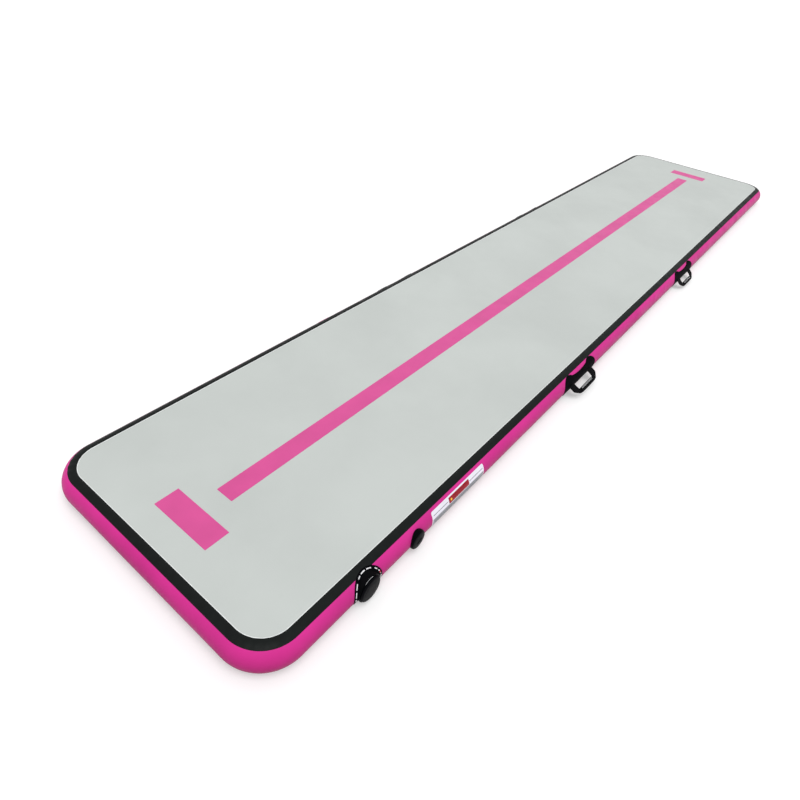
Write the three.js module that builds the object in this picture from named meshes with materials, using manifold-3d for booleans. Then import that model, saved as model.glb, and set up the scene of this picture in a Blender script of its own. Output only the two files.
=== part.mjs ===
// Inflatable air track mat for tumbling: an airtight drop-stitch mattress with
// a taped seam, a pump valve, a pressure relief valve, a label and four hinged
// carry handles. Millimetres, +Z up, +X along the length, the valves on the -Y
// side. The origin is on the floor, under the middle of the mat.

import * as THREE from 'three';
import { mergeVertices } from 'three/addons/utils/BufferGeometryUtils.js';
import Module from 'manifold-3d';

// ---------------------------------------------------------------- dimensions

const LENGTH = 5000;
const WIDTH = 1000;
const HEIGHT = 100;
const MID_HEIGHT = HEIGHT / 2;

// The air pushes the side wall out into half an ellipse beyond the flat faces.
const BULGE = 45;
const CORNER_RADIUS = 145;
const CORNER_STEPS = 6;

const SKIN = 0.7;
const CLOTH = 0.5;
const GAP = 0.3;

// The seam tape runs from the flat face, round the edge, to this wall angle.
const TAPE_INSET = 48;
const TAPE_ANGLE = THREE.MathUtils.degToRad(59);
const TAPE_STEPS = 3;
const WALL_STEPS = 10;
const BAND_LAP = 18;
const CLOTH_INSET = 66;

const YARN_ROWS = 9;
const YARN_SPACING = 96;
const YARN_WALL = 0.4;

const INK = 0.2;
const MARK_CORNER = 1.5;
const STRIPE = { x: -42, length: 4305, width: 68 };
const NEAR_BAR = { x: -2315, length: 85, width: 236 };
const FAR_BAR = { x: 2240, length: 85, width: 236 };

// Pieces on the wall reach round it between two wall angles, in degrees.
const LABEL = { x: -1648, length: 298, low: -25, high: 45 };
const LABEL_PANEL = { x: -1648, length: 116, low: 16, high: 41 };
const LABEL_THICKNESS = 0.3;
const PATCH_THICKNESS = 1.5;
const WALL_JOINT = { x: -1250, length: 60, low: -58, high: 58 };

// Radius of the roll that turns a distance round the wall into a height.
const WALL_ROLL = 48.5;

// Radii of the turned pieces.
const ROUND_STEPS = 32;
const SMALL_STEPS = 20;
const VALVE = {
  x: -2103, patch: 60, flange: 44, cap: 41, capBore: 31.4, collar: 31, collarBore: 28,
  barrel: 22, bore: 17.5, seat: 12, disc: 15.5, head: 6, rod: 2, spring: 3.6,
};
const RELIEF = { x: -1878, flange: 32, cap: 31, barrel: 14, bore: 10, disc: 8.5, rod: 1.2 };
const NUT_LIP = 8;

// Handles at rest hang by these angles below level.
const NEAR_HANDLE_X = -735;
const FAR_HANDLE_X = 600;
const RAISED = THREE.MathUtils.degToRad(28);
const SLACK = THREE.MathUtils.degToRad(45);
const LOBE_X = 97;
const LOBE_RADIUS = 50;
const WAIST = 26;
const HINGE_OUT = 4.5;
const STRAP_THICKNESS = 4;
const STRAP = { inner: 64, outer: 104, root: 1.5, shoulder: 21, hem: 2 };
const GRIP = { length: 118, inner: 32, outer: 52, thickness: 11, wall: 1.7, corner: 5 };

// ----------------------------------------------------------------- materials

function paint(color, roughness, metalness = 0) {
  return new THREE.MeshStandardMaterial({ color, roughness, metalness });
}

const COLOURS = {
  sheet: paint(0xc8cecb, 0.6),
  wall: paint(0xd73791, 0.4),
  ink: paint(0xe458a5, 0.5),
  tape: paint(0x1e2121, 0.55),
  cloth: paint(0xd8d6cc, 0.9),
  label: paint(0xdedce8, 0.4),
  labelPanel: paint(0x8c0a19, 0.4),
  patch: paint(0x111114, 0.6),
  webbing: paint(0x0d0d0f, 0.8),
  plastic: paint(0x0b0b0d, 0.3),
  rubber: paint(0x151515, 0.8),
  steel: paint(0xb8bcc0, 0.3, 1),
};

// -------------------------------------------------------------- solid makers

const wasm = await Module();
wasm.setup();

// Shared vertices merged, only positions kept, and faces pointing out.
function closed(geometry) {
  const bare = new THREE.BufferGeometry();
  bare.setAttribute('position', geometry.getAttribute('position').clone());
  if (geometry.index) bare.setIndex(geometry.index.clone());
  const merged = mergeVertices(bare, 1e-4);
  const kept = [];
  const corner = merged.index.array;
  for (let i = 0; i < corner.length; i += 3) {
    const [a, b, c] = corner.slice(i, i + 3);
    if (a !== b && b !== c && c !== a) kept.push(a, b, c);
  }
  merged.setIndex(signedVolume(merged, kept) < 0 ? kept.reverse() : kept);
  return merged;
}

function signedVolume(geometry, corners) {
  const position = geometry.getAttribute('position');
  const [a, b, c] = [new THREE.Vector3(), new THREE.Vector3(), new THREE.Vector3()];
  let volume = 0;
  for (let i = 0; i < corners.length; i += 3) {
    a.fromBufferAttribute(position, corners[i]);
    b.fromBufferAttribute(position, corners[i + 1]);
    c.fromBufferAttribute(position, corners[i + 2]);
    volume += a.dot(b.cross(c)) / 6;
  }
  return volume;
}

function toManifold(geometry) {
  const solid = closed(geometry);
  const vertProperties = new Float32Array(solid.getAttribute('position').array);
  const triVerts = new Uint32Array(solid.index.array);
  return new wasm.Manifold(new wasm.Mesh({ numProp: 3, vertProperties, triVerts }));
}

function fromManifold(manifold) {
  const { vertProperties, triVerts } = manifold.getMesh();
  const geometry = new THREE.BufferGeometry();
  geometry.setAttribute('position', new THREE.BufferAttribute(vertProperties, 3));
  geometry.setIndex(new THREE.BufferAttribute(triVerts, 1));
  return geometry;
}

function cut(geometry, ...tools) {
  const start = toManifold(geometry);
  return fromManifold(tools.reduce((body, tool) => body.subtract(toManifold(tool)), start));
}

function join(geometry, other) {
  return fromManifold(toManifold(geometry).add(toManifold(other)));
}

function common(geometry, other) {
  return fromManifold(toManifold(geometry).intersect(toManifold(other)));
}

function extrude(shape, depth) {
  return new THREE.ExtrudeGeometry(shape, { depth, bevelEnabled: false });
}

// An outline drawn in Y and Z, extruded along X and centred on x = 0.
function extrudeAlongX(shape, length) {
  const geometry = extrude(shape, length);
  geometry.translate(0, 0, -length / 2);
  geometry.rotateX(Math.PI / 2);
  geometry.rotateZ(Math.PI / 2);
  return geometry;
}

// An outline drawn in X and Z, extruded along +Y from one depth to another.
function extrudeAlongY(shape, from, to) {
  const geometry = extrude(shape, to - from);
  geometry.rotateX(Math.PI / 2);
  geometry.translate(0, to, 0);
  return geometry;
}

// A turned piece about the Y axis, from [radius, depth] points.
function turned(points, steps = ROUND_STEPS) {
  const profile = points.map(([radius, depth]) => new THREE.Vector2(radius, depth));
  return new THREE.LatheGeometry(profile, steps);
}

function turnedRing(inner, outer, from, to, steps = ROUND_STEPS) {
  const square = [[inner, from], [outer, from], [outer, to], [inner, to], [inner, from]];
  return turned(square, steps);
}

function turnedRod(radius, from, to, steps = ROUND_STEPS) {
  return turned([[0, from], [radius, from], [radius, to], [0, to]], steps);
}

function arc(x, y, radius, from, to, steps) {
  const points = [];
  for (let i = 0; i <= steps; i += 1) {
    const angle = from + ((to - from) * i) / steps;
    points.push(new THREE.Vector2(x + radius * Math.cos(angle), y + radius * Math.sin(angle)));
  }
  return points;
}

function circle(radius, steps = ROUND_STEPS) {
  return arc(0, 0, radius, 0, 2 * Math.PI, steps).slice(1);
}

function roundedRectangle(halfX, halfY, radius, steps) {
  const [x, y] = [halfX - radius, halfY - radius];
  const quarter = Math.PI / 2;
  return new THREE.Shape([
    ...arc(x, y, radius, 0, quarter, steps),
    ...arc(-x, y, radius, quarter, 2 * quarter, steps),
    ...arc(-x, -y, radius, 2 * quarter, 3 * quarter, steps),
    ...arc(x, -y, radius, 3 * quarter, 4 * quarter, steps),
  ]);
}

// ------------------------------------------------------------- mat cross-section

// A point of the side wall: its inset from the outermost line, and its height
// above mid-height. The offset is measured outwards from the wall's outside.
function wallPoint(angle, offset) {
  const normal = new THREE.Vector2(MID_HEIGHT * Math.cos(angle), BULGE * Math.sin(angle));
  normal.normalize();
  const inset = BULGE - BULGE * Math.cos(angle) - offset * normal.x;
  const height = MID_HEIGHT * Math.sin(angle) + offset * normal.y;
  return [inset, height];
}

function wallArc(from, to, offset, steps) {
  const points = [];
  for (let i = 0; i <= steps; i += 1) {
    points.push(wallPoint(from + ((to - from) * i) / steps, offset));
  }
  return points;
}

// The whole half ellipse, with its corners at the same angles as the tapes and
// the wall, so that nested layers stay parallel.
function fullArc(offset) {
  const edge = Math.PI / 2;
  return [
    ...wallArc(-edge, -TAPE_ANGLE, offset, TAPE_STEPS),
    ...wallArc(-TAPE_ANGLE, TAPE_ANGLE, offset, WALL_STEPS).slice(1, -1),
    ...wallArc(TAPE_ANGLE, edge, offset, TAPE_STEPS),
  ];
}

// The closed outline of a layer between two offsets and two angles.
function wallLayer(from, to, inner, outer, steps) {
  return [...wallArc(from, to, outer, steps), ...wallArc(to, from, inner, steps)];
}

// A cross-section swept once round the mat's outline.
function ringAroundMat(profile) {
  const positions = [];
  const corners = [[1, 1], [-1, 1], [-1, -1], [1, -1]];
  corners.forEach(([signX, signY], quarter) => {
    const centreX = signX * (LENGTH / 2 - CORNER_RADIUS);
    const centreY = signY * (WIDTH / 2 - CORNER_RADIUS);
    for (let step = 0; step <= CORNER_STEPS; step += 1) {
      const turn = (quarter + step / CORNER_STEPS) * (Math.PI / 2);
      for (const [inset, height] of profile) {
        const reach = CORNER_RADIUS - inset;
        const x = centreX + reach * Math.cos(turn);
        const y = centreY + reach * Math.sin(turn);
        positions.push(x, y, MID_HEIGHT + height);
      }
    }
  });
  const stations = 4 * (CORNER_STEPS + 1);
  const count = profile.length;
  const index = [];
  for (let i = 0; i < stations; i += 1) {
    const next = (i + 1) % stations;
    for (let j = 0; j < count; j += 1) {
      const after = (j + 1) % count;
      const [a, b] = [i * count + j, i * count + after];
      const [c, d] = [next * count + j, next * count + after];
      index.push(a, c, b, b, c, d);
    }
  }
  const geometry = new THREE.BufferGeometry();
  geometry.setAttribute('position', new THREE.Float32BufferAttribute(positions, 3));
  geometry.setIndex(index);
  return geometry;
}

// A flat sheet with the mat's outline, from its inset, lowest height and thickness.
function flatSheet(inset, low, thickness) {
  const radius = CORNER_RADIUS - inset;
  const halfX = LENGTH / 2 - inset;
  const halfY = WIDTH / 2 - inset;
  const geometry = extrude(roundedRectangle(halfX, halfY, radius, CORNER_STEPS), thickness);
  geometry.translate(0, 0, low);
  return geometry;
}

// Pieces bonded to the wall are drawn flat, by how far they reach round it, and
// this gives the height of a point so drawn.
function rolled(points) {
  return points.map(({ x, y }) => new THREE.Vector2(x, MID_HEIGHT * Math.sin(y / WALL_ROLL)));
}

// In a fitting's own frame the wall's outermost line passes through the origin,
// +Y points into the mat and Z is measured from mid-height.
function outlineInYZ(points) {
  return new THREE.Shape(points.map(([inset, height]) => new THREE.Vector2(inset, height)));
}

function stripOnWall({ length, low, high }, inner, thickness) {
  const from = THREE.MathUtils.degToRad(low);
  const to = THREE.MathUtils.degToRad(high);
  const steps = Math.max(3, Math.round((high - low) / 10));
  return extrudeAlongX(outlineInYZ(wallLayer(from, to, inner, inner + thickness, steps)), length);
}

// A thin patch on the wall with an outline drawn in X and Z.
function patchOnWall(outline, length) {
  const zone = { length, low: -80, high: 80 };
  return common(stripOnWall(zone, GAP, PATCH_THICKNESS), extrudeAlongY(outline, -20, 60));
}

// Everything inside the wall, out to an offset from its outside: a cutting tool.
function wallCore(offset, length) {
  const back = 60;
  const top = MID_HEIGHT + offset;
  const outline = outlineInYZ([...fullArc(offset), [back, top], [back, -top]]);
  return extrudeAlongX(outline, length);
}

// --------------------------------------------------------------- mattress skins

const track = new THREE.Group();

function add(parent, name, geometry, material) {
  const mesh = new THREE.Mesh(closed(geometry), material);
  mesh.name = name;
  parent.add(mesh);
  return mesh;
}

function fittingGroup(x, side) {
  const group = new THREE.Group();
  group.position.set(x, (side * WIDTH) / 2, MID_HEIGHT);
  group.rotation.z = side > 0 ? Math.PI : 0;
  track.add(group);
  return group;
}

function boreThroughWall(x, radius) {
  const bore = turnedRod(radius, -20, 40, ROUND_STEPS);
  bore.translate(x, -WIDTH / 2, MID_HEIGHT);
  return bore;
}

const wallBores = [
  boreThroughWall(VALVE.x, VALVE.barrel + 2 * GAP),
  boreThroughWall(RELIEF.x, RELIEF.barrel + 2 * GAP),
];

function tapeProfile(sign) {
  const arc = wallArc(TAPE_ANGLE, Math.PI / 2, 0, TAPE_STEPS);
  const back = wallArc(Math.PI / 2, TAPE_ANGLE, -SKIN, TAPE_STEPS);
  const flat = [[TAPE_INSET, MID_HEIGHT], [TAPE_INSET, MID_HEIGHT - SKIN]];
  return [...arc, ...flat, ...back].map(([inset, height]) => [inset, sign * height]);
}

function bandProfile() {
  const outer = -(SKIN + GAP);
  const inner = outer - SKIN;
  const lap = BULGE + BAND_LAP;
  return [
    [lap, -MID_HEIGHT - outer],
    ...fullArc(outer),
    [lap, MID_HEIGHT + outer],
    [lap, MID_HEIGHT + inner],
    ...fullArc(inner).reverse(),
    [lap, -MID_HEIGHT - inner],
  ];
}

// Rows of yarn that hold the two faces parallel, as thin webs on a shared root.
function yarnRows() {
  const root = -MID_HEIGHT + SKIN + GAP + CLOTH + GAP;
  const crest = MID_HEIGHT - SKIN - GAP - CLOTH - GAP;
  const halfWidth = WIDTH / 2 - CLOTH_INSET;
  const outline = [[halfWidth, root], [halfWidth, root + YARN_WALL]];
  for (let row = 0; row < YARN_ROWS; row += 1) {
    const y = ((YARN_ROWS - 1) / 2 - row) * YARN_SPACING;
    outline.push([y + YARN_WALL / 2, root + YARN_WALL], [y + YARN_WALL / 2, crest]);
    outline.push([y - YARN_WALL / 2, crest], [y - YARN_WALL / 2, root + YARN_WALL]);
  }
  outline.push([-halfWidth, root + YARN_WALL], [-halfWidth, root]);
  const geometry = extrudeAlongX(outlineInYZ(outline), LENGTH - 2 * CORNER_RADIUS);
  geometry.translate(0, 0, MID_HEIGHT);
  return geometry;
}

function buildMattress() {
  const seamGap = GAP / Math.hypot(BULGE * Math.sin(TAPE_ANGLE), MID_HEIGHT * Math.cos(TAPE_ANGLE));
  const wallAngle = TAPE_ANGLE - seamGap;
  const wall = ringAroundMat(wallLayer(-wallAngle, wallAngle, -SKIN, 0, WALL_STEPS));
  const sheetInset = TAPE_INSET + GAP;
  const clothLow = SKIN + GAP;

  add(track, 'top_sheet', flatSheet(sheetInset, HEIGHT - SKIN, SKIN), COLOURS.sheet);
  add(track, 'bottom_sheet', flatSheet(sheetInset, 0, SKIN), COLOURS.sheet);
  add(track, 'side_wall', cut(wall, ...wallBores), COLOURS.wall);
  add(track, 'top_seam_tape', ringAroundMat(tapeProfile(1)), COLOURS.tape);
  add(track, 'bottom_seam_tape', ringAroundMat(tapeProfile(-1)), COLOURS.tape);
  add(track, 'inner_wall_band', cut(ringAroundMat(bandProfile()), ...wallBores), COLOURS.wall);
  const upperLow = HEIGHT - clothLow - CLOTH;
  add(track, 'upper_base_cloth', flatSheet(CLOTH_INSET, upperLow, CLOTH), COLOURS.cloth);
  add(track, 'lower_base_cloth', flatSheet(CLOTH_INSET, clothLow, CLOTH), COLOURS.cloth);
  add(track, 'drop_stitch_yarns', yarnRows(), COLOURS.cloth);
}

function buildMarkings() {
  const low = HEIGHT + GAP;
  const marks = [
    ['centre_stripe', STRIPE],
    ['near_end_bar', NEAR_BAR],
    ['far_end_bar', FAR_BAR],
  ];
  for (const [name, { x, length, width }] of marks) {
    const outline = roundedRectangle(length / 2, width / 2, MARK_CORNER, 3);
    const mark = add(track, name, extrude(outline, INK), COLOURS.ink);
    mark.position.set(x, 0, low);
  }
}

function buildWallTrim() {
  const label = fittingGroup(LABEL.x, -1);
  add(label, 'info_label', stripOnWall(LABEL, GAP, LABEL_THICKNESS), COLOURS.label);
  const panel = fittingGroup(LABEL_PANEL.x, -1);
  const panelInner = GAP + LABEL_THICKNESS + GAP;
  const panelShape = stripOnWall(LABEL_PANEL, panelInner, LABEL_THICKNESS);
  add(panel, 'label_panel', panelShape, COLOURS.labelPanel);
  const joint = fittingGroup(WALL_JOINT.x, 1);
  add(joint, 'wall_joint_patch', stripOnWall(WALL_JOINT, GAP, SKIN), COLOURS.wall);
}

// ------------------------------------------------------------------ valve parts

// A guide that carries a stem on three spokes inside a barrel.
function spider(radius, hub, hole, from, to) {
  const rim = 0.86 * radius;
  const third = (2 * Math.PI) / 3;
  const spokeHalf = 0.09 * Math.PI;
  const shape = new THREE.Shape(circle(radius, 24));
  shape.holes.push(new THREE.Path(circle(hole, 12)));
  for (let k = 0; k < 3; k += 1) {
    const start = k * third + spokeHalf;
    const end = (k + 1) * third - spokeHalf;
    const window = [...arc(0, 0, rim, start, end, 4), ...arc(0, 0, hub, end, start, 4)];
    shape.holes.push(new THREE.Path(window));
  }
  return extrudeAlongY(shape, from, to);
}

class Helix extends THREE.Curve {
  constructor(radius, from, to, turns) {
    super();
    Object.assign(this, { radius, from, to, turns });
  }

  getPoint(t, target = new THREE.Vector3()) {
    const angle = 2 * Math.PI * this.turns * t;
    const depth = this.from + (this.to - this.from) * t;
    return target.set(this.radius * Math.cos(angle), depth, this.radius * Math.sin(angle));
  }
}

function coilSpring(radius, wire, from, to, turns) {
  const section = new THREE.Shape(circle(wire / 2, 5));
  const extrudePath = new Helix(radius, from + wire, to - wire, turns);
  const options = { extrudePath, steps: turns * 12, bevelEnabled: false };
  return new THREE.ExtrudeGeometry(section, options);
}

function nutOutline(outer, inner, lugs) {
  const pitch = (2 * Math.PI) / lugs;
  const points = [];
  for (let k = 0; k < lugs; k += 1) {
    const start = k * pitch;
    points.push(...arc(0, 0, outer, start, start + 0.6 * pitch, 2));
    points.push(...arc(0, 0, 0.93 * outer, start + 0.65 * pitch, start + 0.95 * pitch, 1));
  }
  const shape = new THREE.Shape(points);
  shape.holes.push(new THREE.Path(circle(inner, 24)));
  return shape;
}

// Inside faces are measured from the inner side of the inner wall band.
const BACK_OFFSET = -(2 * SKIN + 2 * GAP);
const DEEP = 44;
const NUT_START = 14;

function buildPumpValve() {
  const valve = fittingGroup(VALVE.x, -1);
  const patchTop = GAP + PATCH_THICKNESS;
  const saddleFront = -patchTop - GAP - 0.5;
  const flangeBack = saddleFront - GAP;
  const flangeFront = flangeBack - 2;
  const collarTop = flangeFront - 4.5;
  const barrelEnd = 46;
  const clearBarrel = VALVE.barrel + GAP;
  const clearBore = VALVE.bore - GAP;

  const disc = new THREE.Shape(rolled(circle(VALVE.patch)));
  disc.holes.push(new THREE.Path(circle(clearBarrel)));
  add(valve, 'valve_patch', patchOnWall(disc, 3 * VALVE.patch), COLOURS.patch);
  const saddleBlank = turnedRing(clearBarrel, VALVE.flange, saddleFront, DEEP);
  const saddle = cut(saddleBlank, wallCore(patchTop + GAP, 3 * VALVE.flange));
  add(valve, 'valve_saddle', saddle, COLOURS.rubber);

  const flangeProfile = [
    [clearBarrel, flangeFront], [VALVE.flange - 1, flangeFront],
    [VALVE.flange, flangeFront + 0.8], [VALVE.flange, flangeBack],
    [clearBarrel, flangeBack], [clearBarrel, flangeFront],
  ];
  add(valve, 'valve_flange', turned(flangeProfile), COLOURS.plastic);
  const collar = turnedRing(VALVE.collarBore, VALVE.collar, collarTop, flangeFront - GAP);
  add(valve, 'valve_collar', collar, COLOURS.plastic);
  const barrel = turnedRing(VALVE.bore, VALVE.barrel, flangeFront, barrelEnd);
  add(valve, 'valve_barrel', barrel, COLOURS.plastic);

  const seatFront = 22;
  const seatBack = seatFront + 3;
  add(valve, 'valve_seat', turnedRing(VALVE.seat, clearBore, seatFront, seatBack), COLOURS.rubber);

  const nutRadius = VALVE.barrel + NUT_LIP;
  const washerBlank = turnedRing(clearBarrel, nutRadius, -5, NUT_START);
  const washer = common(washerBlank, wallCore(BACK_OFFSET, 3 * nutRadius));
  add(valve, 'valve_back_washer', washer, COLOURS.rubber);
  const nutFront = NUT_START + GAP;
  const nut = extrudeAlongY(nutOutline(nutRadius, clearBarrel, 8), nutFront, nutFront + 7);
  add(valve, 'valve_back_nut', nut, COLOURS.plastic);

  const guideFront = 12;
  const guideBack = guideFront + 4;
  const clearRod = VALVE.rod + GAP;
  const guide = spider(clearBore, clearRod + 2, clearRod, guideFront, guideBack);
  add(valve, 'valve_stem_guide', guide, COLOURS.plastic);

  const discFront = seatBack + GAP;
  const discBack = discFront + 2;
  const { head, rod } = VALVE;
  const [headFront, headBack] = [-1, 2];
  const [clipFront, clipBack] = [discBack + GAP, discBack + 2.4];
  const stemProfile = [
    [0, headFront], [head - 0.8, headFront], [head, headFront + 0.6], [head, headBack],
    [rod, headBack], [rod, clipFront], [2 * rod, clipFront], [2 * rod, clipBack], [0, clipBack],
  ];
  add(valve, 'valve_stem', turned(stemProfile, SMALL_STEPS), COLOURS.plastic);
  const diaphragm = turnedRing(clearRod, VALVE.disc, discFront, discBack);
  add(valve, 'valve_diaphragm', diaphragm, COLOURS.rubber);
  const spring = coilSpring(VALVE.spring, 0.9, headBack, guideFront, 4);
  add(valve, 'valve_spring', spring, COLOURS.steel);

  const ceiling = collarTop - 1.8;
  const sealInner = VALVE.collarBore + 0.2;
  const sealOuter = VALVE.collar - 0.2;
  const seal = turnedRing(sealInner, sealOuter, ceiling + GAP, collarTop - GAP);
  add(valve, 'valve_cap_seal', seal, COLOURS.rubber);
  add(valve, 'valve_cap', turned(capProfile(ceiling, flangeFront - 0.4)), COLOURS.plastic);
}

// A low dome with a thick rim that fits round the collar.
function capProfile(ceiling, skirtEnd) {
  const { cap, capBore } = VALVE;
  const crest = ceiling - 2.8;
  return [
    [0, ceiling], [capBore, ceiling], [capBore, skirtEnd], [cap - 1.5, skirtEnd],
    [cap, skirtEnd - 1.2], [cap - 1, ceiling + 1.6], [cap - 5, ceiling - 0.8],
    [cap / 2, crest + 0.6], [0, crest],
  ];
}

function buildReliefValve() {
  const relief = fittingGroup(RELIEF.x, -1);
  const { flange, cap, barrel, bore, disc, rod } = RELIEF;
  const face = -4;
  const seatFront = 22;
  const seatBack = seatFront + 2;
  const barrelEnd = 30;
  const seatBore = 6;

  const skirt = cut(turnedRing(bore, flange, face, NUT_START), wallCore(GAP, 3 * flange));
  const barrelProfile = [
    [bore, face], [barrel, face], [barrel, barrelEnd], [bore, barrelEnd], [bore, seatBack],
    [seatBore, seatBack], [seatBore, seatFront], [bore, seatFront], [bore, face],
  ];
  add(relief, 'relief_body', join(skirt, turned(barrelProfile)), COLOURS.plastic);

  const nutRadius = barrel + NUT_LIP - 2;
  const nutBlank = turnedRing(barrel + GAP, nutRadius, -5, NUT_START - 1);
  const nut = common(nutBlank, wallCore(BACK_OFFSET, 3 * nutRadius));
  add(relief, 'relief_back_nut', nut, COLOURS.plastic);

  const guideFront = 6;
  const guideBack = guideFront + 2;
  const clearRod = rod + GAP;
  const guide = spider(bore - GAP, clearRod + 1.3, clearRod, guideFront, guideBack);
  add(relief, 'relief_stem_guide', guide, COLOURS.plastic);

  const discBack = seatFront - GAP;
  const discFront = discBack - 2.2;
  const tip = 3;
  const poppetProfile = [
    [0, tip], [rod, tip], [rod, discFront], [disc, discFront], [disc, discBack], [0, discBack],
  ];
  add(relief, 'relief_poppet', turned(poppetProfile, SMALL_STEPS), COLOURS.rubber);
  const spring = coilSpring(3.4, 0.7, guideBack, discFront, 5);
  add(relief, 'relief_spring', spring, COLOURS.steel);

  const rim = face - GAP;
  const crest = rim - 6.4;
  const shell = [
    [0, rim - 2.2], [cap - 7, rim - 1.4], [cap - 4, rim], [cap, rim], [cap, rim - 1.6],
    [cap - 2.5, rim - 3.6], [0.68 * cap, crest + 1.2], [0.36 * cap, crest + 0.3], [0, crest],
  ];
  add(relief, 'relief_cap', turned(shell), COLOURS.plastic);
}

// ---------------------------------------------------------------------- handles

// Two round lobes joined by a waist, drawn in X and Z.
function dogBone() {
  const open = THREE.MathUtils.degToRad(130);
  const tipX = LOBE_X + LOBE_RADIUS * Math.cos(open);
  const tipZ = LOBE_RADIUS * Math.sin(open);
  const waist = (sign) => new THREE.QuadraticBezierCurve(
    new THREE.Vector2(sign * tipX, sign * tipZ),
    new THREE.Vector2(0, sign * WAIST),
    new THREE.Vector2(-sign * tipX, sign * tipZ),
  ).getPoints(8).slice(1, -1);
  return new THREE.Shape(rolled([
    ...arc(LOBE_X, 0, LOBE_RADIUS, -open, open, 10),
    ...waist(1),
    ...arc(-LOBE_X, 0, LOBE_RADIUS, Math.PI - open, Math.PI + open, 10),
    ...waist(-1),
  ]));
}

// The webbing leaves the patch as two arms and turns in to the grip, so the
// space for the fingers is between the wall, the arms and the grip.
function strapHalf() {
  const { inner, outer, root, shoulder, hem } = STRAP;
  const near = -(GRIP.inner + hem - HINGE_OUT);
  const far = -(GRIP.outer - hem - HINGE_OUT);
  return [
    [inner, root], [inner - 1, near + 4], [inner - 4, near],
    [inner + 4, far], [inner + 11, far + 1.5],
    [outer - 3, -shoulder - 5], [outer, -shoulder], [outer, root],
  ];
}

function handleStrap() {
  const half = strapHalf();
  const inside = half.slice(0, 3);
  const outside = half.slice(3);
  const mirrored = (points) => points.map(([x, y]) => [-x, y]).reverse();
  const outline = [...outside, ...inside, ...mirrored(inside), ...mirrored(outside)];
  const shape = new THREE.Shape(outline.map(([x, y]) => new THREE.Vector2(x, y)));
  const geometry = extrude(shape, STRAP_THICKNESS);
  geometry.translate(0, 0, -STRAP_THICKNESS / 2);
  return geometry;
}

// A padded sleeve on the straight stretch of the webbing.
function handleGrip() {
  const { length, inner, outer, thickness, wall, corner } = GRIP;
  const half = (outer - inner) / 2;
  const sleeve = roundedRectangle(half, thickness / 2, corner, 4);
  const slot = roundedRectangle(half - wall, STRAP_THICKNESS / 2 + GAP, GAP, 1);
  sleeve.holes.push(new THREE.Path(slot.getPoints()));
  const geometry = extrudeAlongX(sleeve, length);
  geometry.translate(0, HINGE_OUT - (inner + outer) / 2, 0);
  return geometry;
}

function buildHandle(suffix, x, side, droop) {
  const seat = fittingGroup(x, side);
  const patch = patchOnWall(dogBone(), 2 * LOBE_X + 3 * LOBE_RADIUS);
  add(seat, `handle_patch_${suffix}`, patch, COLOURS.patch);
  const swing = new THREE.Group();
  swing.position.y = -HINGE_OUT;
  swing.rotation.x = droop;
  seat.add(swing);
  add(swing, `handle_strap_${suffix}`, handleStrap(), COLOURS.webbing);
  add(swing, `handle_grip_${suffix}`, handleGrip(), COLOURS.webbing);
}

buildMattress();
buildMarkings();
buildWallTrim();
buildPumpValve();
buildReliefValve();
buildHandle('front_near', NEAR_HANDLE_X, -1, RAISED);
buildHandle('front_far', FAR_HANDLE_X, -1, SLACK);
buildHandle('back_near', NEAR_HANDLE_X, 1, SLACK);
buildHandle('back_far', FAR_HANDLE_X, 1, SLACK);

export default track;
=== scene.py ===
"""An inflatable air track mat: its visible skins, fittings and materials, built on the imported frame."""
import math

import bmesh
import bpy
import numpy as np
from mathutils import Matrix, Vector


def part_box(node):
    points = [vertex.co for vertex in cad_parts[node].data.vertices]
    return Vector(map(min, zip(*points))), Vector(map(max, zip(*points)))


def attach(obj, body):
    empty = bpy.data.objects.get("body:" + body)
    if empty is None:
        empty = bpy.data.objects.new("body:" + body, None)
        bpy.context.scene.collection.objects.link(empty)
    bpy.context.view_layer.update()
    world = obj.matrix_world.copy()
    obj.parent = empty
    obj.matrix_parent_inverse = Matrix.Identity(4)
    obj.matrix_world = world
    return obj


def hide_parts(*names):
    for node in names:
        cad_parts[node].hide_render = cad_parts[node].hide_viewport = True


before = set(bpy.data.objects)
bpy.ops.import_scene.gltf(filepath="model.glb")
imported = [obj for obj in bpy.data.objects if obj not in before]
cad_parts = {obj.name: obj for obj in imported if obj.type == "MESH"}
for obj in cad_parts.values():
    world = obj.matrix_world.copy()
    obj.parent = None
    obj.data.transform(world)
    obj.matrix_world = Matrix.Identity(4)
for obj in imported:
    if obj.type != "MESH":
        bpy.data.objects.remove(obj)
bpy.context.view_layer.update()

MM = 0.001

# ------------ measures of the mat

wall_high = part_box("side_wall")[1]
HALF_LENGTH = wall_high.x
HALF_WIDTH = wall_high.y
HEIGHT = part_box("top_sheet")[1].z
MID = HEIGHT / 2
SHEET_INSET = HALF_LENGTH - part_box("top_sheet")[1].x
BULGE = 45 * MM
CORNER_RADIUS = 145 * MM
TAPE_ANGLE = math.radians(59)
SKIN = 0.7 * MM

STRAIGHT_STEP = 20 * MM
CORNER_STEPS = 30
BORDER_ROWS = 5
ARC_SAMPLES = 1201
PUCKER = 0.8 * MM
PUCKER_WAVES = 7
PUCKER_LEVEL = 0.86
PUCKER_SPREAD = 0.16

# Each handle's side of the mat, and how far it hangs below level.
HANDLES = {
    "front_near": (-1, math.radians(28)), "front_far": (-1, math.radians(45)),
    "back_near": (1, math.radians(45)), "back_far": (1, math.radians(45)),
}
HINGE_OUT = 4.5 * MM

valve_low, valve_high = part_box("valve_flange")
VALVE_X = (valve_low.x + valve_high.x) / 2
relief_low, relief_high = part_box("relief_body")
RELIEF_X = (relief_low.x + relief_high.x) / 2

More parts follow.
